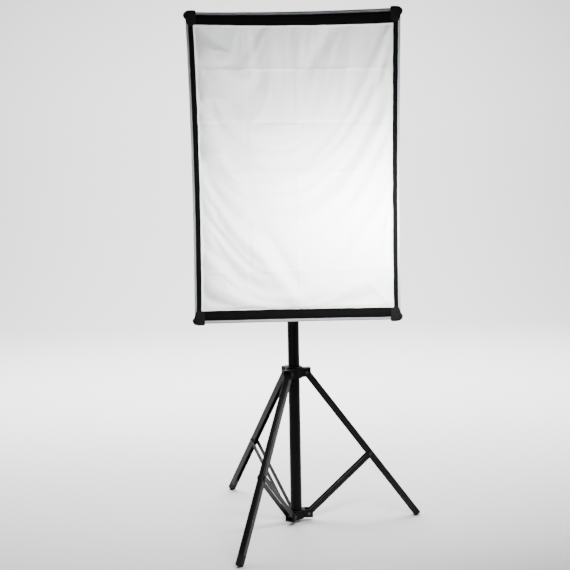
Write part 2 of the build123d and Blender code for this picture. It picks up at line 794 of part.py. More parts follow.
build_stand()
build_column()
build_lamp_head()
build_softbox()
print("leg angle", degrees(leg_angle), "brace angle", degrees(brace_angle), "fold travel", fold_travel)
print("brace length", brace_length, "tilt z", tilt_z, "head z", head_z, "front", border_front)
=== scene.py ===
from math import cos, exp, pi, radians, sin

import bpy
from mathutils import Matrix, Vector, noise


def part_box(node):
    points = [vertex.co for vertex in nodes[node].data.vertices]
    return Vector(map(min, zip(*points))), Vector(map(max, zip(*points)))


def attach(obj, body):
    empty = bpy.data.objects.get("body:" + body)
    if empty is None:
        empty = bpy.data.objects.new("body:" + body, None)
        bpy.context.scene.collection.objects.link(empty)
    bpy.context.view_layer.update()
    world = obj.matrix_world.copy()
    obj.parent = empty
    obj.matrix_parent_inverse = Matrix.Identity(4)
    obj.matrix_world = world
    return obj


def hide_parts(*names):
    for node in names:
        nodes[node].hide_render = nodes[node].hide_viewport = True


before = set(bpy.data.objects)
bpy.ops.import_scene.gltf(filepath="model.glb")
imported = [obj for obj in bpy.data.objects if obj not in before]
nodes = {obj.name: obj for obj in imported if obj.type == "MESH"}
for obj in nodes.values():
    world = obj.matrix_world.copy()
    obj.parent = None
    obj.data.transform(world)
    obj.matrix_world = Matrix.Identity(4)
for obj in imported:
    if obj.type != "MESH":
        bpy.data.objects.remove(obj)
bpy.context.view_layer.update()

# Everything is in metres, in the CAD frame: +Z up, the softbox faces -Y.

mm = 0.001

# ---------------------------------------------------------------- places taken from the frame
rear_low, rear_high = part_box("rear_panel")
band_low, band_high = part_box("rim_band")
tape_low, tape_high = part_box("hook_tape")
border_low, border_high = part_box("diffuser_border")
panel_low, panel_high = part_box("diffuser_panel")
hem_low, hem_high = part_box("diffuser_hem")
tab_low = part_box("corner_tabs")[0]
wall_low, wall_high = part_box("wall_left")

centre_z = (band_low.z + band_high.z) / 2
rim_x, rim_z = band_high.x, band_high.z - centre_z
rear_x, rear_z = rear_high.x, rear_high.z - centre_z
rear_y, front_y = wall_high.y, wall_low.y
border_x, border_z = border_high.x, border_high.z - centre_z
panel_x, panel_z = panel_high.x, panel_high.z - centre_z
border_side, border_top = border_x - panel_x, border_z - panel_z
hem_width = hem_high.x - panel_x

# The tensioned cloth bows inward between the corners, by this much at the middle of each edge.
bows = {"bottom": 1.0 * mm, "right": 3.0 * mm, "top": 5.0 * mm, "left": 5.5 * mm}

# Each rod pulls its corner a little out of square: by this much across, upward at the rim, and
# upward at the white cloth.
pulls = {(-1, -1): (0.6 * mm, -1.1 * mm, 0.5 * mm), (1, -1): (-1.4 * mm, -0.3 * mm, 0.0),
         (1, 1): (2.6 * mm, 4.6 * mm, -1.8 * mm), (-1, 1): (-2.3 * mm, -0.6 * mm, 0.0)}


# ---------------------------------------------------------------- shader helpers
def new_material(name):
    material = bpy.data.materials.new(name)
    material.use_nodes = True
    return material, material.node_tree, material.node_tree.nodes["Principled BSDF"]


def add(tree, kind, **inputs):
    node = tree.nodes.new("ShaderNode" + kind)
    for key, value in inputs.items():
        socket = node.inputs[key.replace("_", " ")]
        if isinstance(value, bpy.types.NodeSocket):
            tree.links.new(value, socket)
        else:
            socket.default_value = value
    return node


def position(tree):
    return add(tree, "TexCoord").outputs["Object"]


def cloth_position(tree):
    return add(tree, "TexCoord").outputs["UV"]


def noise_of(tree, vector, size, detail=3.0):
    return add(tree, "TexNoise", Vector=vector, Scale=1 / size, Detail=detail).outputs[0]


def spread(tree, value, low, high, start=0.3, end=0.7):
    ranged = add(tree, "MapRange", Value=value)
    ranged.inputs["From Min"].default_value = start
    ranged.inputs["From Max"].default_value = end
    ranged.inputs["To Min"].default_value = low
    ranged.inputs["To Max"].default_value = high
    return ranged.outputs[0]


def math(tree, operation, a, b=0.5):
    node = tree.nodes.new("ShaderNodeMath")
    node.operation = operation
    for socket, value in zip(node.inputs, (a, b)):
        if isinstance(value, bpy.types.NodeSocket):
            tree.links.new(value, socket)
        else:
            socket.default_value = value
    return node.outputs[0]


def mixed(tree, share, first, second):
    node = tree.nodes.new("ShaderNodeMix")
    node.data_type = "RGBA"
    for socket, value in ((node.inputs[0], share), (node.inputs[6], first), (node.inputs[7], second)):
        if isinstance(value, bpy.types.NodeSocket):
            tree.links.new(value, socket)
        elif isinstance(value, float):
            socket.default_value = value
        else:
            socket.default_value = (*value, 1)
    return node.outputs[2]


def bumped(tree, height, depth, strength=0.6, below=None):
    node = add(tree, "Bump", Height=height, Strength=strength, Distance=depth)
    if below is not None:
        tree.links.new(below, node.inputs["Normal"])
    return node.outputs[0]


def edge_share(tree, radius):
    """Near 1 on sharp edges and near 0 on flat faces."""
    bevel = tree.nodes.new("ShaderNodeBevel")
    bevel.inputs["Radius"].default_value = radius
    dot = tree.nodes.new("ShaderNodeVectorMath")
    dot.operation = "DOT_PRODUCT"
    tree.links.new(bevel.outputs[0], dot.inputs[0])
    tree.links.new(tree.nodes.new("ShaderNodeNewGeometry").outputs["Normal"], dot.inputs[1])
    return spread(tree, dot.outputs["Value"], 1.0, 0.0, 0.8, 0.985)


def tone(colour, factor):
    return tuple(min(1.0, c * factor) for c in colour)


def hard(name, colour, rough, grain, depth, metal=0.0, worn=None, streak=None, coat=0.0, gloss=0.5):
    """Paint, metal or moulded plastic. grain and depth are the size and height of its texture."""
    material, tree, shader = new_material(name)
    place = position(tree)
    fine = noise_of(tree, place, grain)
    broad = noise_of(tree, place, 40 * mm)
    if streak:
        stretch = add(tree, "Mapping", Vector=place)
        stretch.inputs["Scale"].default_value = streak
        lines = noise_of(tree, stretch.outputs[0], 1 * mm, 5.0)
    else:
        lines = noise_of(tree, place, 6 * mm)
    base = mixed(tree, broad, tone(colour, 0.8), tone(colour, 1.25))
    shade = spread(tree, lines, rough - 0.07, rough + 0.07)
    if worn:
        patch = noise_of(tree, place, 9 * mm)
        edge = math(tree, "MULTIPLY", edge_share(tree, 0.7 * mm), spread(tree, patch, 0.1, 0.9, 0.4, 0.65))
        base = mixed(tree, edge, base, worn)
        shade = math(tree, "SUBTRACT", shade, math(tree, "MULTIPLY", edge, 0.12))
    tree.links.new(base, shader.inputs["Base Color"])
    tree.links.new(shade, shader.inputs["Roughness"])
    height = fine if not streak else math(tree, "ADD", math(tree, "MULTIPLY", lines, 0.6), fine)
    tree.links.new(bumped(tree, height, depth), shader.inputs["Normal"])
    shader.inputs["Metallic"].default_value = metal
    shader.inputs["Coat Weight"].default_value = coat
    shader.inputs["Specular IOR Level"].default_value = gloss
    return material


def cloth(name, colour, rough, pitch, depth, sheen=0.3, metal=0.0, crumple=0.0, mottle=0.12,
          rib=False, light_through=0.0, gloss=0.5):
    """Woven cloth whose threads are pitch apart. Its texture follows the cloth's flat coordinates."""
    material, tree, shader = new_material(name)
    flat = cloth_position(tree)
    axes = add(tree, "SeparateXYZ", Vector=flat)
    waves = []
    for axis in ("X", "Y"):
        turn = math(tree, "MULTIPLY", axes.outputs[axis], 2 * pi / pitch)
        waves.append(math(tree, "SINE", turn))
    threads = waves[1] if rib else math(tree, "MULTIPLY", waves[0], waves[1])
    fuzz = noise_of(tree, flat, pitch * 1.7)
    patches = noise_of(tree, flat, 35 * mm, 4.0)
    thread_shade = spread(tree, threads, 0.0, 1.0, -1.0, 1.0)
    base = mixed(tree, thread_shade, tone(colour, 1 - mottle), tone(colour, 1 + mottle))
    base = mixed(tree, spread(tree, patches, 0.0, 0.5), base, tone(colour, 1 - 1.5 * mottle))
    tree.links.new(base, shader.inputs["Base Color"])
    tree.links.new(spread(tree, fuzz, rough - 0.06, rough + 0.08), shader.inputs["Roughness"])
    height = math(tree, "ADD", threads, math(tree, "MULTIPLY", fuzz, 0.8))
    normal = bumped(tree, height, depth)
    if crumple:
        folds = noise_of(tree, flat, 26 * mm, 5.0)
        normal = bumped(tree, folds, crumple, 0.8, normal)
    tree.links.new(normal, shader.inputs["Normal"])
    shader.inputs["Metallic"].default_value = metal
    shader.inputs["Sheen Weight"].default_value = sheen
    shader.inputs["Sheen Roughness"].default_value = 0.4
    shader.inputs["Specular IOR Level"].default_value = gloss
    if light_through:
        through = add(tree, "BsdfTranslucent", Color=(*tone(colour, 0.95), 1), Normal=normal)
        blend = add(tree, "MixShader")
        blend.inputs[0].default_value = light_through
        tree.links.new(shader.outputs[0], blend.inputs[1])
        tree.links.new(through.outputs[0], blend.inputs[2])
        tree.links.new(blend.outputs[0], tree.nodes["Material Output"].inputs["Surface"])
    return material


# ---------------------------------------------------------------- materials
bare_steel = (0.45, 0.45, 0.46)
grey_wear = (0.035, 0.035, 0.037)
along_z = (0.9, 0.9, 0.02)
along_y = (0.02, 1.2, 0.02)

column_paint = hard("column_paint", (0.003, 0.003, 0.0033), 0.42, 0.5 * mm, 0.02 * mm,
                    worn=grey_wear, streak=along_z, gloss=0.07)
# The legs and braces use a lighter copy of the column's black paint. The raised base colour is a painted
# sheen standing in for the soft highlight along the tubes; the higher gloss is a real finish.
leg_paint_painted_sheen = hard("leg_paint_painted_sheen", (0.005, 0.005, 0.0055), 0.36, 0.6 * mm, 0.03 * mm, worn=grey_wear,
                 gloss=0.16)
nylon = hard("moulded_nylon", (0.004, 0.004, 0.0045), 0.5, 0.5 * mm, 0.06 * mm, worn=(0.03, 0.03, 0.031),
             gloss=0.1)
knob_plastic = hard("knob_plastic", (0.018, 0.018, 0.019), 0.58, 0.4 * mm, 0.08 * mm, worn=(0.06, 0.06, 0.06))
rivet_steel = hard("rivet_steel", (0.06, 0.06, 0.062), 0.42, 0.4 * mm, 0.02 * mm, metal=1.0,
                   worn=(0.2, 0.2, 0.2))
foot_rubber = hard("foot_rubber", (0.009, 0.009, 0.0095), 0.78, 0.35 * mm, 0.07 * mm,
                   worn=(0.05, 0.048, 0.046), gloss=0.15)
bush_nylon = hard("bush_nylon", (0.62, 0.61, 0.58), 0.5, 0.6 * mm, 0.03 * mm)
plated = hard("plated_steel", (0.78, 0.78, 0.8), 0.16, 0.8 * mm, 0.01 * mm, metal=1.0, worn=(0.6, 0.58, 0.55))
alloy = hard("coated_alloy", (0.03, 0.03, 0.032), 0.45, 0.7 * mm, 0.06 * mm, metal=0.3, worn=bare_steel)
housing = hard("housing_plastic", (0.02, 0.02, 0.021), 0.5, 0.55 * mm, 0.09 * mm, worn=(0.05, 0.05, 0.05))
gland_rubber = hard("gland_rubber", (0.014, 0.014, 0.014), 0.72, 0.4 * mm, 0.05 * mm)
terminal = hard("terminal_plastic", (0.72, 0.7, 0.62), 0.4, 0.8 * mm, 0.03 * mm)
switch_gloss = hard("switch_gloss", (0.012, 0.012, 0.012), 0.18, 1.0 * mm, 0.01 * mm, worn=(0.05, 0.05, 0.05))
rocker_red = hard("rocker_red", (0.42, 0.015, 0.012), 0.2, 1.0 * mm, 0.01 * mm, worn=(0.5, 0.1, 0.08))
holder = hard("holder_ceramic", (0.78, 0.77, 0.73), 0.22, 1.5 * mm, 0.02 * mm, worn=(0.6, 0.58, 0.52))
cap_metal = hard("cap_metal", (0.72, 0.72, 0.74), 0.28, 0.6 * mm, 0.03 * mm, metal=1.0,
                 streak=along_y)
opal = hard("opal_glass", (0.88, 0.88, 0.86), 0.22, 3.0 * mm, 0.02 * mm, coat=0.5)
rod_steel = hard("rod_steel", (0.55, 0.55, 0.57), 0.3, 0.5 * mm, 0.015 * mm, metal=1.0, worn=(0.7, 0.7, 0.7))

shell_black = cloth("shell_black", (0.006, 0.006, 0.007), 0.62, 0.6 * mm, 0.07 * mm, sheen=0.03,
                    crumple=1.6 * mm, gloss=0.12)
lining_silver = cloth("lining_silver", (0.62, 0.64, 0.67), 0.36, 0.5 * mm, 0.04 * mm, sheen=0.1, metal=0.75,
                      crumple=2.2 * mm, mottle=0.08)
rim_silver = cloth("rim_silver", (0.3, 0.32, 0.35), 0.5, 0.5 * mm, 0.04 * mm, sheen=0.1, metal=0.2,
                   crumple=1.2 * mm, mottle=0.1)
loop_tape = cloth("loop_tape", (0.0015, 0.0015, 0.0016), 0.95, 1.1 * mm, 0.25 * mm, sheen=0.01, mottle=0.3,
                  gloss=0.06)
hook_black = cloth("hook_tape", (0.012, 0.012, 0.013), 0.7, 1.4 * mm, 0.5 * mm, sheen=0.03,
                   mottle=0.25, gloss=0.2)
webbing = cloth("webbing", (0.002, 0.002, 0.0022), 0.8, 1.2 * mm, 0.2 * mm, sheen=0.02, rib=True, mottle=0.3,
                gloss=0.12)
front_white = cloth("front_white", (0.86, 0.87, 0.885), 0.6, 0.45 * mm, 0.03 * mm, sheen=0.35,
                    crumple=0.5 * mm, mottle=0.02, light_through=0.12)
hem_white = cloth("hem_white", (0.83, 0.82, 0.78), 0.75, 1.6 * mm, 0.2 * mm, sheen=0.4, rib=True, mottle=0.06)
thread_black = hard("thread_black", (0.02, 0.02, 0.021), 0.6, 0.4 * mm, 0.1 * mm)

node_materials = {
    column_paint: ["lower_tube", "middle_tube", "top_tube"],
    leg_paint_painted_sheen: ["leg_right", "leg_left", "leg_front", "brace_right", "brace_left", "brace_front"],
    nylon: ["lower_tube_plug", "brace_collar", "leg_hub", "lower_lock", "middle_lock"],
    knob_plastic: ["leg_hub_knob", "lower_lock_knob", "middle_lock_knob", "tilt_mount_knob", "tilt_lever"],
    rivet_steel: ["brace_collar_rivets", "leg_hub_rivets", "brace_rivets_right", "brace_rivets_left",
                  "brace_rivets_front", "tilt_bolt", "speed_ring_screws"],
    foot_rubber: ["foot_right", "foot_left", "foot_front"],
    bush_nylon: ["middle_tube_bush", "top_tube_bush"],
    plated: ["spigot"],
    alloy: ["tilt_mount", "speed_ring"],
    housing: ["lamp_housing", "rear_cover"],
    gland_rubber: ["cord_gland"],
    terminal: ["terminal_block"],
    switch_gloss: ["switch_frames"],
    rocker_red: ["rocker_left", "rocker_right"],
    holder: ["lamp_holders"],
    cap_metal: ["bulb_caps"],
    opal: ["bulb_globes"],
    rod_steel: ["rod_lower_left", "rod_lower_right", "rod_upper_left", "rod_upper_right"],
}
for material, names in node_materials.items():
    for name in names:
        data = nodes[name].data
        data.materials.clear()
        data.materials.append(material)


# ---------------------------------------------------------------- mesh helpers
def grid_piece(name, points, materials, thickness=0.0, closed=False, inner_material=False):
    """A sheet through rows of points, each an (x, y, z) with its flat (u, v). closed joins the ends."""
    rows, columns = len(points), len(points[0])
    vertices = [p for row in points for p, flat in row]
    flats = [flat for row in points for p, flat in row]
    faces = []
    for i in range(rows if closed else rows - 1):
        for j in range(columns - 1):
            k = (i + 1) % rows
            faces.append((i * columns + j, i * columns + j + 1, k * columns + j + 1, k * columns + j))
    data = bpy.data.meshes.new(name)
    data.from_pydata(vertices, [], faces)
    layer = data.uv_layers.new(name="flat")
    for loop in data.loops:
        layer.data[loop.index].uv = flats[loop.vertex_index]
    for material in materials:
        data.materials.append(material)
    data.shade_smooth()
    piece = bpy.data.objects.new(name, data)
    bpy.context.scene.collection.objects.link(piece)
    if thickness:
        solid = piece.modifiers.new("thickness", "SOLIDIFY")
        solid.thickness = thickness
        solid.offset = -1
        solid.use_even_offset = False
        solid.material_offset = 1 if inner_material else 0
        applied(piece)
    return piece


def applied(piece):
    """Writes the piece's modifiers into its mesh."""
    depsgraph = bpy.context.evaluated_depsgraph_get()
    data = bpy.data.meshes.new_from_object(piece.evaluated_get(depsgraph))
    piece.modifiers.clear()
    piece.data = data
    return piece


def joined(name, pieces):
    first = pieces[0]
    with bpy.context.temp_override(active_object=first, selected_editable_objects=pieces):
        bpy.ops.object.join()
    first.name = name
    return first


def wobble(x, y, z, size, height):
    """A smooth random height, the same on each run."""
    return height * noise.noise(Vector((x, y, z)) / size)


def settle(piece, body, slot, *replaced):
    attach(piece, body)
    if replaced:
        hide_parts(*replaced)
    return piece


# ---------------------------------------------------------------- rectangular rings of tape
edges = ("bottom", "right", "top", "left")


def edge_ends(edge, half_x, half_z):
    corners = [(-half_x, -half_z), (half_x, -half_z), (half_x, half_z), (-half_x, half_z)]
    n = edges.index(edge)
    return corners[n], corners[(n + 1) % 4]


def pulled(x, z):
    """How far the corners' pulls move a point of the front, shared between the four corners."""
    moved = Vector((0, 0))
    outer = min(1.0, max(0.0, (abs(z) - panel_z) / (rim_z - panel_z)))
    for (sx, sz), (across, at_rim, at_front) in pulls.items():
        upward = at_front + (at_rim - at_front) * outer
        moved += Vector((across, upward)) * (1 + sx * x / rim_x) * (1 + sz * z / rim_z) / 4
    return moved


def inward(edge):
    return {"bottom": (0, 1), "right": (-1, 0), "top": (0, -1), "left": (1, 0)}[edge]


def edge_point(edge, share, half_x, half_z):
    """A point on the bowed rectangle, as x and z from the head's axis."""
    (x0, z0), (x1, z1) = edge_ends(edge, half_x, half_z)
    way_x, way_z = inward(edge)
    bow = bows[edge] * (1 - (2 * share - 1) ** 2)
    x, z = x0 + (x1 - x0) * share, z0 + (z1 - z0) * share
    pull_x, pull_z = pulled(x, z)
    return x + way_x * bow + pull_x, z + way_z * bow + pull_z


def tape_ring(name, half_x, half_z, side, top, back, front, materials, ripple=0.0, steps=90, across=6):
    """A ring of tape lying on the rim. Its face is crowned and its edges ripple slightly."""
    rows = []
    run = 0.0
    for edge in edges:
        last = None
        for n in range(steps):
            share = n / steps
            row = []
            for m in range(across + 1):
                s = m / across
                ox, oz = edge_point(edge, share, half_x, half_z)
                ix, iz = edge_point(edge, share, half_x - side, half_z - top)
                x, z = ox + (ix - ox) * s, oz + (iz - oz) * s
                x += wobble(x, z, 1.0, 30 * mm, ripple)
                z += wobble(x, z, 2.0, 30 * mm, ripple)
                crown = (front - back) * (1 - (2 * s - 1) ** 6 * 0.5)
                y = back + crown + wobble(x, z, 3.0, 22 * mm, ripple * 0.5)
                row.append(((x, y, centre_z + z), (run, s * max(side, top))))
            here = Vector((row[0][0][0], row[0][0][2]))
            if last is not None:
                run += (here - last).length
                row = [(p, (run, v)) for p, (u, v) in row]
            last = here
            rows.append(row)
    return grid_piece(name, rows, materials, thickness=abs(front - back) * 0.9, closed=True)


def stitches(name, half_x, half_z, front, pitch, radius, material):
    """A line of short stitches around the bowed rectangle, sewn into the front's border."""
    vertices, faces = [], []
    for edge in edges:
        (x0, z0), (x1, z1) = edge_ends(edge, half_x, half_z)
        length = abs(x1 - x0) + abs(z1 - z0)
        count = int(length / pitch)
        for n in range(count):
            a = edge_point(edge, (n + 0.2) / count, half_x, half_z)
            b = edge_point(edge, (n + 0.8) / count, half_x, half_z)
            way_x, way_z = inward(edge)
            first = len(vertices)
            for (x, z), high in ((a, 0.2), (((a[0] + b[0]) / 2, (a[1] + b[1]) / 2), 1.0), (b, 0.2)):
                z += centre_z
                for side in (-1, 1):
                    vertices.append((x + way_x * side * radius, front, z + way_z * side * radius))
                vertices.append((x, front - radius * high, z))
            for m in (0, 3):
                k = first + m
                faces += [(k, k + 2, k + 5, k + 3), (k + 2, k + 1, k + 4, k + 5), (k + 1, k, k + 3, k + 4)]
            faces += [(first, first + 1, first + 2), (first + 6, first + 8, first + 7)]
    data = bpy.data.meshes.new(name)
    data.from_pydata(vertices, [], faces)
    data.materials.append(material)
    data.shade_smooth()
    piece = bpy.data.objects.new(name, data)
    bpy.context.scene.collection.objects.link(piece)
    return settle(piece, "diffuser", "black_webbing")


# ---------------------------------------------------------------- walls
wall_sag = 9 * mm           # inward, at the middle of a wall
wall_ripple = 2.2 * mm
rod_pull = 1.4 * mm         # height of the short pleats beside the rods
cloth_thickness = 0.6 * mm
slant = 1.3                 # a wall's own length to its depth


def wall_point(edge, share, run):
    """A point on the tapering shell. share runs along the edge and run from the back to the rim."""
    half_x = rear_x + (rim_x - rear_x) * run
    half_z = rear_z + (rim_z - rear_z) * run
    (x0, z0), (x1, z1) = edge_ends(edge, half_x, half_z)
    way_x, way_z = inward(edge)
    hump = 1 - (2 * share - 1) ** 2
    bow = bows[edge] * hump * run + wall_sag * hump * sin(pi * run) ** 0.8
    corner = exp(-10 * share) + exp(-10 * (1 - share))
    ripple = wobble(share * 14, run * 2.5, edges.index(edge) * 7.0, 1.0, wall_ripple)
    ripple *= 1 - corner * 0.7
    ripple *= hump ** 0.5 * (0.35 + 0.65 * sin(pi * run))
    pleat = rod_pull * sin(run * 40 + share * 9) * corner * hump
    flat_x, flat_z = x0 + (x1 - x0) * share, z0 + (z1 - z0) * share
    pull_x, pull_z = pulled(flat_x / half_x * rim_x, flat_z / half_z * rim_z) * run ** 2
    x = flat_x + way_x * (bow + ripple + pleat) + pull_x
    z = flat_z + way_z * (bow + ripple + pleat) + pull_z
    y = rear_y + (front_y - rear_y) * run
    return x, y, centre_z + z


def wall(edge):
    """One tapering wall, black outside and silver inside."""
    name = f"wall_{edge}"
    columns, rows = 90, 56
    points = []
    for j in range(rows + 1):
        run = j / rows
        half_x, half_z = rear_x + (rim_x - rear_x) * run, rear_z + (rim_z - rear_z) * run
        (x0, z0), (x1, z1) = edge_ends(edge, half_x, half_z)
        width = abs(x1 - x0) + abs(z1 - z0)
        down = run * (rear_y - front_y) * slant
        points.append([(wall_point(edge, i / columns, run), (width * (i / columns - 0.5), down))
                       for i in range(columns + 1)])
    piece = grid_piece(f"cloth_{name}", points, [shell_black, lining_silver],
                       thickness=cloth_thickness, inner_material=True)
    settle(piece, "lamp_head", "shell_cloth", name)


def strip_along(name, line, width, thickness, material):
    """A flat binding folded over a seam line. line gives (point, side, out) at each step."""
    profile = [(-1, -0.2), (-0.75, 0.75), (-0.3, 1.0), (0.3, 1.0), (0.75, 0.75), (1, -0.2)]
    rows = []
    run = 0.0
    last = None
    for point, side, out in line:
        run += (point - last).length if last is not None else 0.0
        last = point
        rows.append([(tuple(point + side * (a * width / 2) + out * (b * thickness)), (run, a * width / 2))
                     for a, b in profile])
    piece = grid_piece(name, rows, [material], thickness=thickness * 0.4)
    settle(piece, "lamp_head", "black_webbing")


def corner_seams():
    """The bound seams along the shell's four corners, where the rods push from inside."""
    steps = 60
    for n, edge in enumerate(edges):
        line = []
        for j in range(steps + 1):
            run = j / steps
            point = Vector(wall_point(edge, 0.0, run))
            sx = 1 if point.x > 0 else -1
            sz = 1 if point.z > centre_z else -1
            out = Vector((sx, 0.55, sz)).normalized()
            along = Vector((sx * (rim_x - rear_x), front_y - rear_y, sz * (rim_z - rear_z))).normalized()
            side = out.cross(along).normalized()
            line.append((point + out * wobble(run * 9, n, 0.3, 1.0, 0.5 * mm), side, out))
        strip_along(f"seam_{n}", line, 11 * mm, 1.6 * mm, webbing)


# ---------------------------------------------------------------- rear panel
ring_hole = 62.5 * mm        # radius of the opening for the lamp head
gathers = 26


def rear_panel():
    """The cloth at the back, gathered a little around the ring's opening."""
    around, across = 120, 18
    rows = []
    for i in range(around):
        angle = -2 * pi * i / around
        c, s = cos(angle), sin(angle)
        reach = min(rear_x / max(abs(c), 1e-6), rear_z / max(abs(s), 1e-6))
        row = []
        for j in range(across + 1):
            t = j / across
            r = ring_hole + (reach - ring_hole) * t
            pucker = 0.5 * mm * sin(gathers * angle) * exp(-((t - 0.35) / 0.25) ** 2)
            y = rear_low.y + cloth_thickness + (pucker if 0.1 < t else 0)
            row.append(((r * c, y, centre_z + r * s), (r * c, r * s)))
        rows.append(row)
    piece = grid_piece("cloth_rear_panel", rows, [shell_black, lining_silver],
                       thickness=cloth_thickness, closed=True, inner_material=True)
    settle(piece, "lamp_head", "shell_cloth", "rear_panel")


# ---------------------------------------------------------------- front cloth
fold_rows = (0.154, 0.34, 0.512, 0.681, 0.863)      # shares of the height, from the top
fold_columns = (0.255, 0.51, 0.77)                  # shares of the width, from the left
row_heights = (1.3, 1.4, 1.1, 1.3, 1.9)             # of the creases, in mm
column_heights = (0.7, 0.9, 0.8)
row_tilts = (-0.002, -0.001, 0.0, 0.001, 0.008)     # upward to the right


front_gap = 0.4 * mm        # from the CAD panel's face back to the sewn edge


def crease(distance, height, reach):
    return height * exp(-abs(distance) / reach)


def front_cloth():
    """The white front, which stands a little proud of its border, most of all on the left."""
    columns, rows = 100, 146
    wide, tall = 2 * panel_x, 2 * panel_z
    points = []
    for j in range(rows + 1):
        v = j / rows
        row = []
        left = edge_point("left", 1 - v, panel_x, panel_z)[0]
        right = edge_point("right", v, panel_x, panel_z)[0]
        for i in range(columns + 1):
            u = i / columns
            low = edge_point("bottom", u, panel_x, panel_z)[1]
            high = edge_point("top", 1 - u, panel_x, panel_z)[1]
            x, z = left + (right - left) * u, low + (high - low) * v
            rim = min(u * wide, (1 - u) * wide, v * tall, (1 - v) * tall)
            scallop = 1.2 * wobble(0, z, 6.0, 45 * mm, 1.0) * (1 - u) ** 3
            puff = (13 - 9 * u) * mm * (1 + scallop)
            bulge = puff * (1 - exp(-u * wide / (20 * mm))) * (1 - exp(-rim / (8 * mm)))
            lumps = wobble(x, z, 0.4, 70 * mm, 1.6 * mm) * (1 - exp(-rim / (15 * mm)))
            row.append(((x, panel_low.y + front_gap - bulge + lumps, centre_z + z), (x, z)))
        points.append(row)
    piece = grid_piece("cloth_front", points, [front_white])
    hang(piece, columns, rows)
    press_creases(piece)
    solid = piece.modifiers.new("smooth", "SUBSURF")
    solid.levels = 1
    applied(piece)
    press_folds(piece)
    press_drapes(piece)
    settle(piece, "diffuser", "white_cloth", "diffuser_panel")


def hang(piece, columns, rows):
    """Hangs the cloth from its sewn edge, under its own weight."""
    edge = piece.vertex_groups.new(name="sewn")
    sewn = [v for v in range((rows + 1) * (columns + 1))
            if v % (columns + 1) in (0, columns) or v // (columns + 1) in (0, rows)]
    edge.add(sewn, 1.0, "REPLACE")
    sim = piece.modifiers.new("hang", "CLOTH")
    setup = sim.settings
    setup.vertex_group_mass = "sewn"
    setup.quality = 5
    setup.mass = 0.02
    setup.tension_stiffness = 30
    setup.compression_stiffness = 30
    setup.shear_stiffness = 12
    setup.bending_stiffness = 0.08
    setup.air_damping = 6
    setup.shrink_min = -0.005
    sim.collision_settings.use_collision = False
    sim.collision_settings.use_self_collision = False
    scene = bpy.context.scene
    last = 36
    sim.point_cache.frame_end = last
    for step in range(1, last + 1):
        scene.frame_set(step)
    applied(piece)
    piece.vertex_groups.clear()
    scene.frame_set(1)


def press_creases(piece):
    """Broad, shallow facets between the creases left by the cloth's folding."""
    height, fade = 0.45 * mm, 20 * mm
    for vertex in piece.data.vertices:
        x, z = vertex.co.x, vertex.co.z - centre_z
        cell = sum(x > panel_x * (2 * share - 1) for share in fold_columns)
        level = sum(z > panel_z * (1 - 2 * share) for share in fold_rows)
        lift = height * (1 if (cell + level) % 2 else -1)
        rim = min(panel_x - abs(x), panel_z - abs(z))
        vertex.co.y += lift * (1 - exp(-max(rim, 0) / fade))


def press_folds(piece):
    """Sharp creases left by the cloth's folding."""
    for vertex in piece.data.vertices:
        x, z = vertex.co.x, vertex.co.z - centre_z
        rim = 1 - exp(-max(min(panel_x - abs(x), panel_z - abs(z)), 0) / (8 * mm))
        lift = 0.0
        for n, (share, height, tilt) in enumerate(zip(fold_rows, row_heights, row_tilts)):
            line = panel_z * (1 - 2 * share) + x * tilt
            lift += crease(z - line, height * mm * (1 if n % 2 else -1), 4.5 * mm)
        for n, (share, height) in enumerate(zip(fold_columns, column_heights)):
            line = panel_x * (2 * share - 1)
            lift += crease(x - line, height * mm * (-1 if n % 2 else 1), 5 * mm)
        vertex.co.y += lift * rim


# Soft folds, from one end to the other as shares across and down the front, with height and width.
drapes = (
    ((0.19, 0.70), (0.50, 0.975), 6.5 * mm, 20 * mm),
    ((0.30, 0.68), (0.52, 0.93), -4.5 * mm, 17 * mm),
    ((0.16, 0.86), (0.44, 0.99), -4.0 * mm, 16 * mm),
    ((1.00, 0.86), (0.58, 0.975), 5.5 * mm, 22 * mm),
    ((0.95, 0.95), (0.60, 0.995), -3.5 * mm, 14 * mm),
    ((0.74, 0.83), (0.56, 0.95), -3.5 * mm, 17 * mm),
    ((0.28, 0.00), (0.33, 0.20), -6.5 * mm, 18 * mm),
    ((0.37, 0.00), (0.40, 0.17), 4.5 * mm, 17 * mm),
    ((0.52, 0.00), (0.53, 0.16), 5.0 * mm, 12 * mm),
    ((0.70, 0.00), (0.58, 0.15), -6.0 * mm, 20 * mm),
    ((0.79, 0.00), (0.75, 0.26), 5.0 * mm, 17 * mm),
    ((0.87, 0.00), (0.85, 0.14), -4.5 * mm, 15 * mm),
    ((0.99, 0.00), (0.91, 0.19), 5.0 * mm, 10 * mm),
    ((0.99, 0.08), (0.95, 0.38), 4.5 * mm, 12 * mm),
    ((0.96, 0.06), (0.91, 0.32), -4.0 * mm, 10 * mm),
    ((0.02, 0.02), (0.13, 0.13), 3.5 * mm, 10 * mm),
    ((0.03, 0.18), (0.11, 0.34), -4.0 * mm, 15 * mm),
    ((0.02, 0.33), (0.20, 0.55), 4.5 * mm, 18 * mm),
    ((0.04, 0.50), (0.13, 0.70), -3.0 * mm, 15 * mm),
    ((0.01, 0.99), (0.16, 0.91), 3.5 * mm, 12 * mm),
    ((0.99, 0.99), (0.87, 0.91), 3.0 * mm, 10 * mm),
    ((0.985, 0.62), (0.95, 0.84), 4.0 * mm, 9 * mm),
)


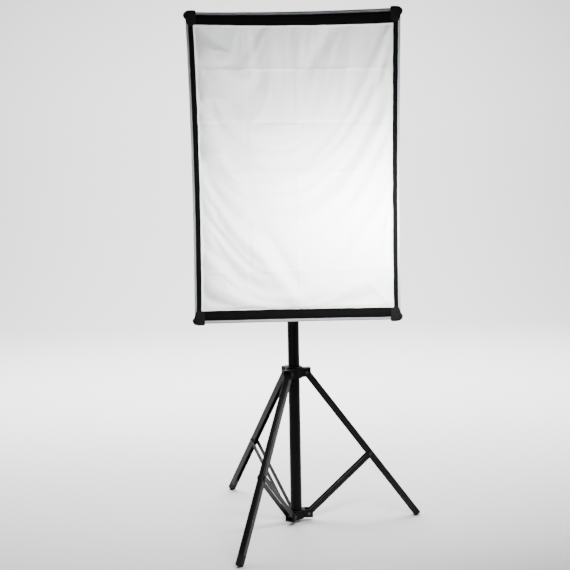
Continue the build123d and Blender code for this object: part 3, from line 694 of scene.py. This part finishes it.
def press_drapes(piece):
    """Soft folds where the cloth hangs from its edge, and short puckers along the sewn line."""
    lines = []
    for (u0, v0), (u1, v1), height, width in drapes:
        start = Vector(((2 * u0 - 1) * panel_x, (1 - 2 * v0) * panel_z))
        end = Vector(((2 * u1 - 1) * panel_x, (1 - 2 * v1) * panel_z))
        lines.append((start, end - start, height, width))
    for vertex in piece.data.vertices:
        x, z = vertex.co.x, vertex.co.z - centre_z
        here = Vector((x, z))
        lift = 0.0
        for start, way, height, width in lines:
            share = (here - start).dot(way) / way.length_squared
            near = start + way * min(1.0, max(0.0, share))
            fade = 1 - 0.6 * abs(2 * min(1.0, max(0.0, share)) - 1)
            lift += height * fade * exp(-(((here - near).length / width) ** 2))
        side, end = panel_x - abs(x), panel_z - abs(z)
        pucker = 1.6 * mm * noise.noise(Vector((z / (11 * mm), 3.0, x > 0))) * exp(-side / (11 * mm))
        pucker += 1.1 * mm * noise.noise(Vector((x / (13 * mm), 8.0, z > 0))) * exp(-end / (11 * mm))
        rim = 1 - exp(-max(min(side, end), 0) / (5 * mm))
        vertex.co.y -= (lift + pucker) * rim


# ---------------------------------------------------------------- corner tabs
# The tab's outline in mm from the rim's corner, outward to the side and outward to the end.
tab_outline = ((-29, -24), (-29, 1), (-26.5, 3), (-18, 3.6), (-9, 3.2), (-3, 1), (2.5, -2.5), (4.8, -6),
               (5, -10), (3, -14), (0.5, -18), (-2, -25), (-6, -36), (-14, -38), (-24, -36), (-28, -30))
tab_thickness = 2.2 * mm
tab_dome = 0.8 * mm
tab_wrap = 9 * mm           # how far its outer edge turns back, at most
rings = 8                   # of faces, from the tab's middle out
steps_per_side = 4


def corner_tab(sx, sz):
    """A webbing tab over the rim's corner, its outer edge turned back around the rim."""
    across, at_rim, at_front = pulls[sx, sz]
    corner = Vector((sx * rim_x + across, 0, centre_z + sz * rim_z + at_rim))
    points = [Vector((u, w)) * mm for u, w in tab_outline]
    middle = sum(points, Vector((0, 0))) / len(points)
    line = []
    for n, here in enumerate(points):
        following = points[(n + 1) % len(points)]
        line += [here.lerp(following, k / steps_per_side) for k in range(steps_per_side)]
    if sx * sz < 0:
        line.reverse()
    rows = []
    for here in line:
        row = []
        for m in range(rings + 1):
            s = (m + 0.5) / (rings + 0.5)
            flat = middle.lerp(here, s)
            place = corner + Vector((sx * flat.x, 0, sz * flat.y))
            over = max(0.0, flat.x) + max(0.0, flat.y)
            y = tab_low.y + 0.9 * mm - tab_dome * (1 - s ** 4) + min(1.7 * over, tab_wrap)
            y += wobble(place.x, place.z, 5, 9 * mm, 0.3 * mm)
            row.append(((place.x, y, place.z), tuple(flat)))
        rows.append(row)
    return grid_piece(f"tab_{sx}_{sz}", rows, [webbing], thickness=tab_thickness, closed=True)


def corner_tabs():
    tabs = [corner_tab(sx, sz) for sx in (-1, 1) for sz in (-1, 1)]
    settle(joined("webbing_corner_tabs", tabs), "lamp_head", "black_webbing", "corner_tabs")


# ---------------------------------------------------------------- softbox
for edge in edges:
    wall(edge)
corner_seams()
rear_panel()

fold_gap = 0.3 * mm         # between the rim band's inner edge and the white cloth
stitch_inset = 2.5 * mm     # from the border's outer edge
band_side, band_top = rim_x - panel_x - fold_gap, rim_z - panel_z - fold_gap
band = tape_ring("cloth_rim_band", rim_x, rim_z, band_side, band_top, band_high.y, band_low.y,
                 [rim_silver], 0.5 * mm)
settle(band, "lamp_head", "silver_cloth", "rim_band")
hooks = tape_ring("hook_tape_ring", border_x, border_z, border_side, border_top, tape_high.y, tape_low.y,
                  [hook_black], 0.2 * mm)
settle(hooks, "lamp_head", "black_webbing", "hook_tape")
border = tape_ring("cloth_border", border_x, border_z, border_side, border_top, border_high.y, border_low.y,
                   [loop_tape], 0.5 * mm)
settle(border, "diffuser", "black_webbing", "diffuser_border")
hem = tape_ring("cloth_hem", panel_x + hem_width / 2, panel_z + hem_width / 2, hem_width, hem_width,
                hem_high.y, hem_low.y, [hem_white], 0.9 * mm, steps=200, across=4)
settle(hem, "diffuser", "white_cloth", "diffuser_hem")
stitches("border_stitches_outer", border_x - stitch_inset, border_z - stitch_inset, border_low.y,
         4 * mm, 0.35 * mm, thread_black)
front_cloth()
corner_tabs()


# ---------------------------------------------------------------- floor, light and camera
def backdrop():
    """A pale floor that sweeps up into a wall well behind the object."""
    half, front, back, rise = 9.0, -6.0, 4.5, 5.0
    profile = [(front, 0.0), (back, 0.0)]
    bend = 2.0
    for n in range(1, 25):
        a = n / 24 * pi / 2
        profile.append((back + bend * sin(a), bend * (1 - cos(a))))
    profile.append((back + bend, rise))
    rows = [[((x, y, z), (x, y + z)) for y, z in profile] for x in (-half, half)]
    material, tree, shader = new_material("pale_floor")
    tone_map = mixed(tree, noise_of(tree, position(tree), 0.8), (0.88, 0.88, 0.88), (0.9, 0.9, 0.9))
    tree.links.new(tone_map, shader.inputs["Base Color"])
    shader.inputs["Roughness"].default_value = 0.85
    piece = grid_piece("floor_sweep", rows, [material])


def area_light(name, place, target, size, power):
    light = bpy.data.lights.new(name, "AREA")
    light.shape = "RECTANGLE"
    light.size, light.size_y = size
    light.energy = power
    lamp = bpy.data.objects.new(name, light)
    lamp.location = place
    lamp.rotation_euler = (Vector(target) - Vector(place)).to_track_quat("-Z", "Y").to_euler()
    lamp.visible_camera = False
    bpy.context.scene.collection.objects.link(lamp)


def camera():
    """Slightly below the softbox's middle, in front of it, looking a little upward."""
    place = Vector((-0.1063, -3.0147, 1.1201))
    yaw, pitch, roll = radians(-1.546), radians(5.697), radians(1.033)
    view = Matrix.Rotation(-roll, 3, "Y") @ Matrix.Rotation(pitch, 3, "X") @ Matrix.Rotation(-yaw, 3, "Z")
    right, ahead, up = view
    data = bpy.data.cameras.new("camera")
    data.sensor_width = 36
    data.lens = 56.84
    eye = bpy.data.objects.new("camera", data)
    turn = Matrix((right, up, -ahead)).transposed()
    eye.matrix_world = Matrix.Translation(place) @ turn.to_4x4()
    bpy.context.scene.collection.objects.link(eye)
    bpy.context.scene.camera = eye


def daylight(strength):
    """Even white light from all round."""
    world = bpy.data.worlds.new("studio")
    world.use_nodes = True
    sky = world.node_tree.nodes["Background"]
    sky.inputs["Color"].default_value = (1, 1, 1, 1)
    sky.inputs["Strength"].default_value = strength
    bpy.context.scene.world = world


backdrop()
daylight(0.1)
area_light("front", (0.24, -0.76, 1.04), (0.1, -0.43, 1.07), (0.7, 0.12), 23)
area_light("side", (2.2, -1.0, 1.0), (0, -0.43, 0.9), (0.3, 0.7), 3.5)
area_light("low", (-1.0, -2.4, 0.4), (0, 0, 0.2), (0.3, 0.6), 8)
area_light("overhead", (0.0, 2.1, 3.4), (0.0, 2.1, 0.0), (7.0, 4.0), 250)
area_light("back", (0.0, 1.6, 3.0), (0, 4.5, 0.8), (5.0, 2.0), 600)
camera()
